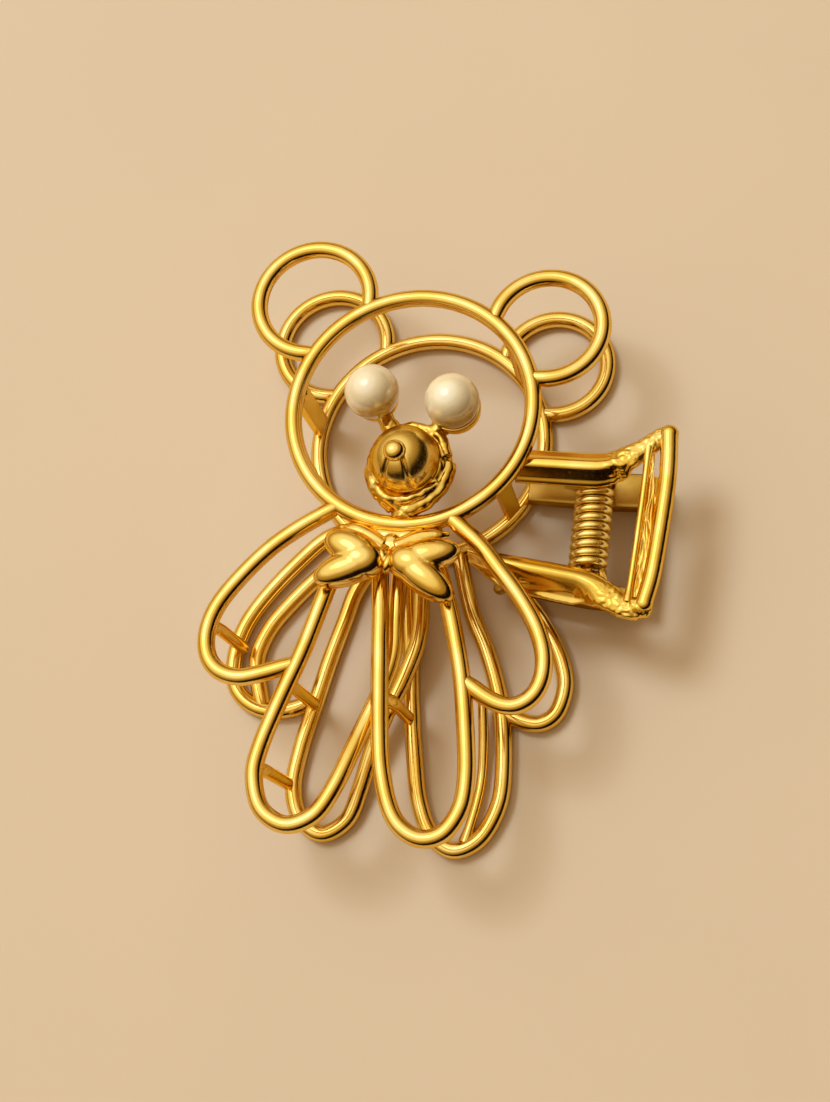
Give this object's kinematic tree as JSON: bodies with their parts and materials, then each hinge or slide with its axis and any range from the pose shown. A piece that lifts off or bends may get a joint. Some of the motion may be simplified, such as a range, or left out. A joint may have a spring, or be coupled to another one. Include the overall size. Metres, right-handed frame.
{
  "type": "hair claw clip",
  "caption": "Bear-shaped wire claw hair clip: two open wire bear outlines hinged on a sprung pin at one side, with pearl eyes, a ball muzzle, a bow and open lever frames.",
  "frame": {"origin": "middle of the bounding box in X and Y, at the plane the clip rests on", "axes": "+Z out of the bear's face, +Y out of the top of the bear's head, +X from the bear towards the hinge and the levers"},
  "size_m": [0.053, 0.0712, 0.0204],
  "materials": {
    "gold_plate": "mirror-polished yellow gold plate over brass wire",
    "lever_gold_plate": "polished yellow gold plate over stamped and cast metal",
    "spring_gold_plate": "gold-plated spring wire, slightly duller",
    "ivory_pearl": "pearlescent ivory imitation pearl"
  },
  "bodies": {
    "rear_jaw": {"rear_arm_left": "gold_plate", "rear_arm_left_inner": "gold_plate", "rear_arm_right": "gold_plate", "rear_ear_left": "gold_plate", "rear_ear_right": "gold_plate", "rear_head_ring": "gold_plate", "rear_hinge_arm_lower": "lever_gold_plate", "rear_hinge_arm_upper": "lever_gold_plate", "rear_leg_left": "gold_plate", "rear_leg_right": "gold_plate", "rear_leg_right_tine": "gold_plate", "rear_lever_bar": "lever_gold_plate", "torsion_spring": "spring_gold_plate"},
    "front_jaw": {"bow_knot": "gold_plate", "bow_left": "gold_plate", "bow_right": "gold_plate", "eye_cup_left": "gold_plate", "eye_cup_right": "gold_plate", "face_setting": "gold_plate", "front_arm_left": "gold_plate", "front_arm_right": "gold_plate", "front_ear_left": "gold_plate", "front_ear_right": "gold_plate", "front_head_ring": "gold_plate", "front_hinge_arm_lower": "lever_gold_plate", "front_hinge_arm_upper": "lever_gold_plate", "front_leg_left": "gold_plate", "front_leg_right": "gold_plate", "front_lever_bar": "lever_gold_plate", "front_lever_rail": "lever_gold_plate", "front_lever_web": "lever_gold_plate", "hinge_pin": "lever_gold_plate", "muzzle": "gold_plate", "nose_bead": "gold_plate", "pearl_left": "ivory_pearl", "pearl_right": "ivory_pearl", "spring_leg_front": "spring_gold_plate", "tooth_arm_left": "gold_plate", "tooth_head_lower_left": "gold_plate", "tooth_head_lower_right": "gold_plate", "tooth_head_upper_left": "gold_plate", "tooth_head_upper_right": "gold_plate", "tooth_leg_left_lower": "gold_plate", "tooth_leg_left_upper": "gold_plate", "tooth_leg_right": "gold_plate"}
  },
  "joints": [
    {"name": "jaw_hinge", "type": "hinge", "parent": "rear_jaw", "child": "front_jaw", "pos_m": [0.01711, 0.00275, 0.007], "axis": [0, 1, 0], "range_deg": [0, 35], "stiffness_Nm_per_rad": 0.03, "springref_deg": -34.38}
  ]
}
